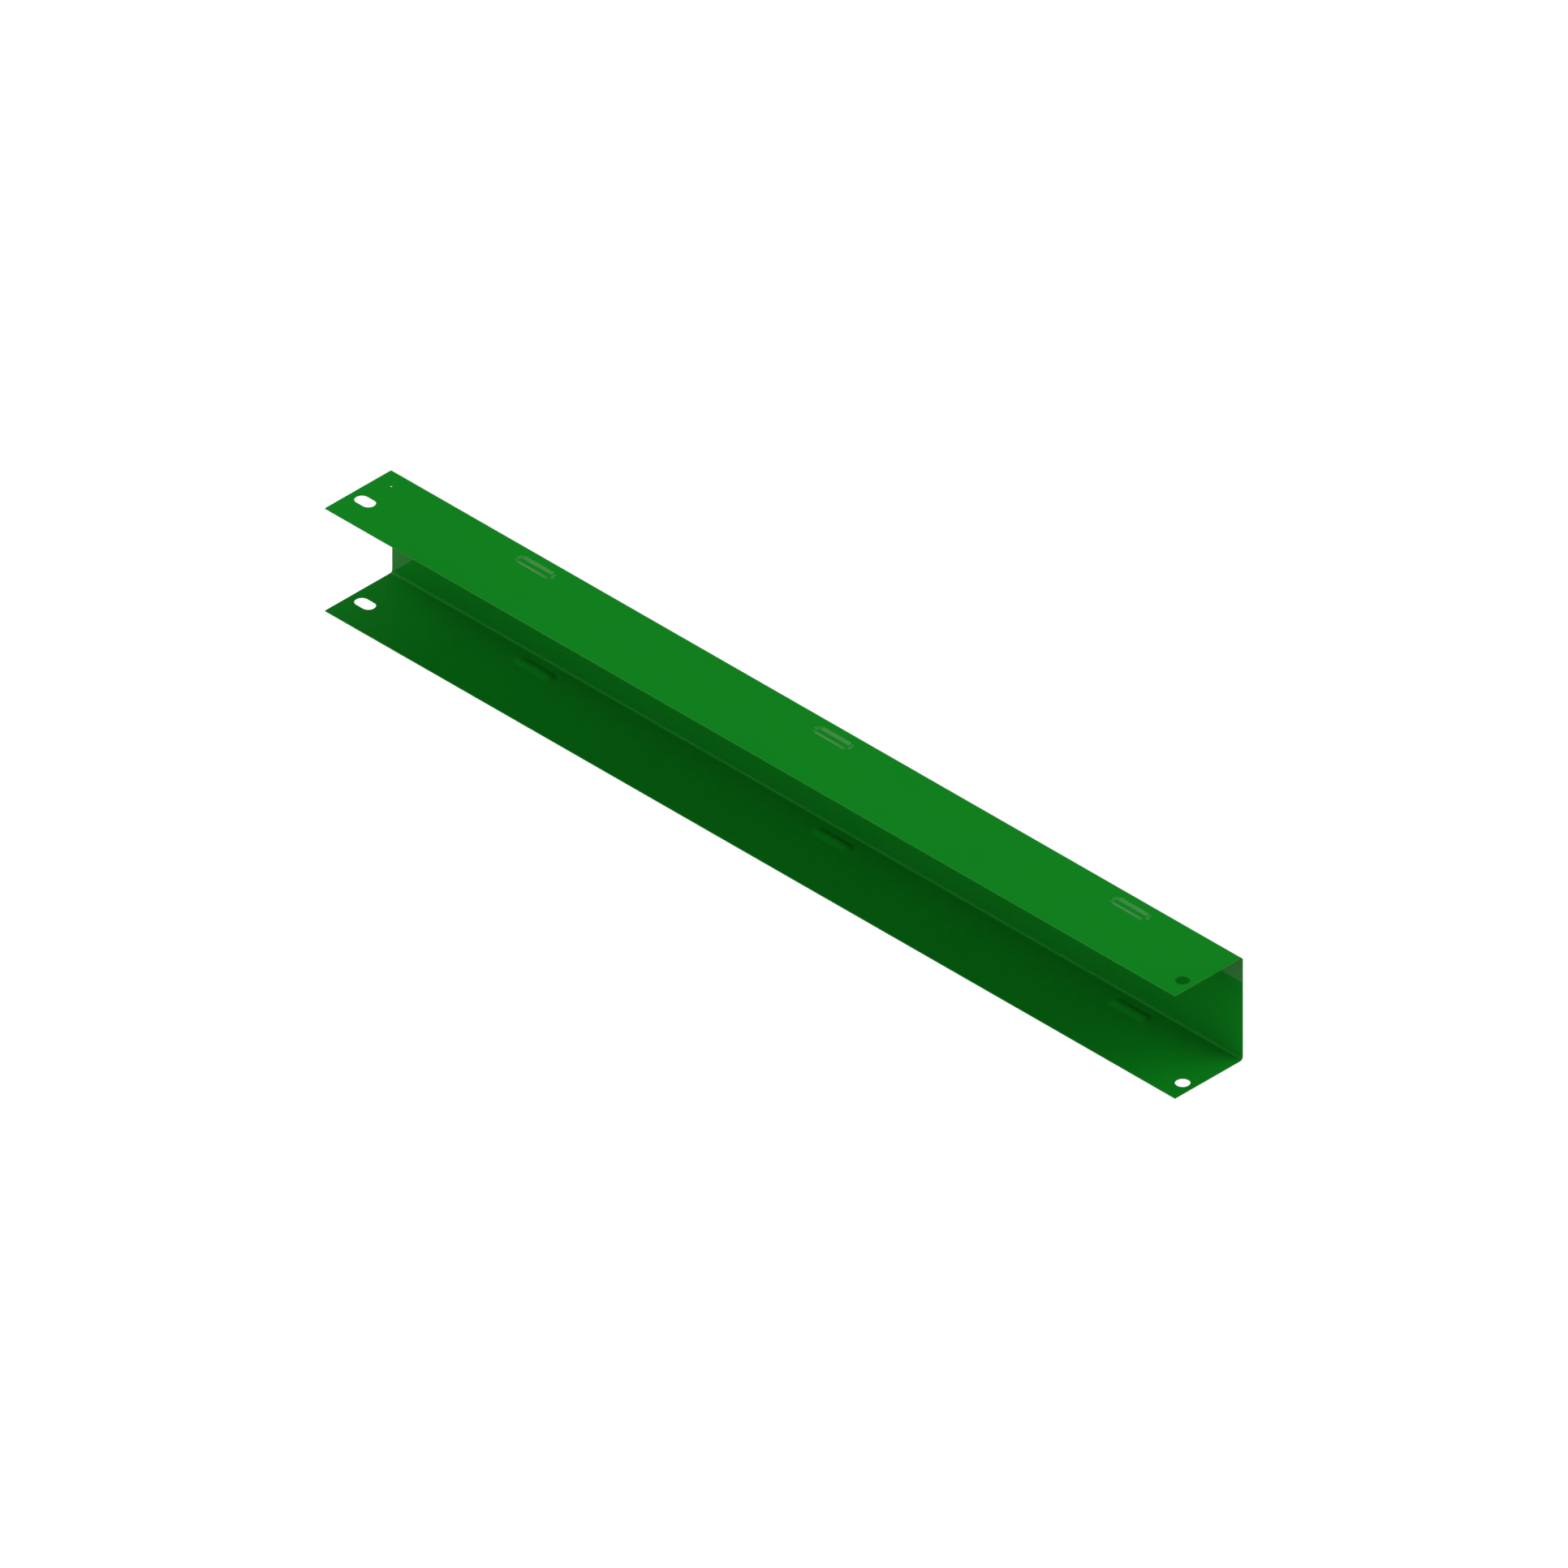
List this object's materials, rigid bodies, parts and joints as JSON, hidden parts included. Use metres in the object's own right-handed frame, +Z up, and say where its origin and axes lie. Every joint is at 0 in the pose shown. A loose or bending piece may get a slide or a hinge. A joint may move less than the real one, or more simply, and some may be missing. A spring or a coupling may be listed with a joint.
{
  "type": "straight slide channel",
  "caption": "Long green U-shaped slide channel folded from one steel sheet, with bolt holes at both ends and short stiffening beads along its flanges.",
  "frame": {"origin": "middle of the bounding box at its lowest face, which is the outer face of the lower flange", "axes": "+X along the channel from the slotted end to the end with round holes, +Y from the open front to the web, +Z up from the lower flange to the upper flange"},
  "size_m": [1, 0.08, 0.105],
  "materials": {
    "green_powder_coat": "gloss"
  },
  "bodies": {
    "root": {"slide_channel": "green_powder_coat"}
  },
  "joints": []
}
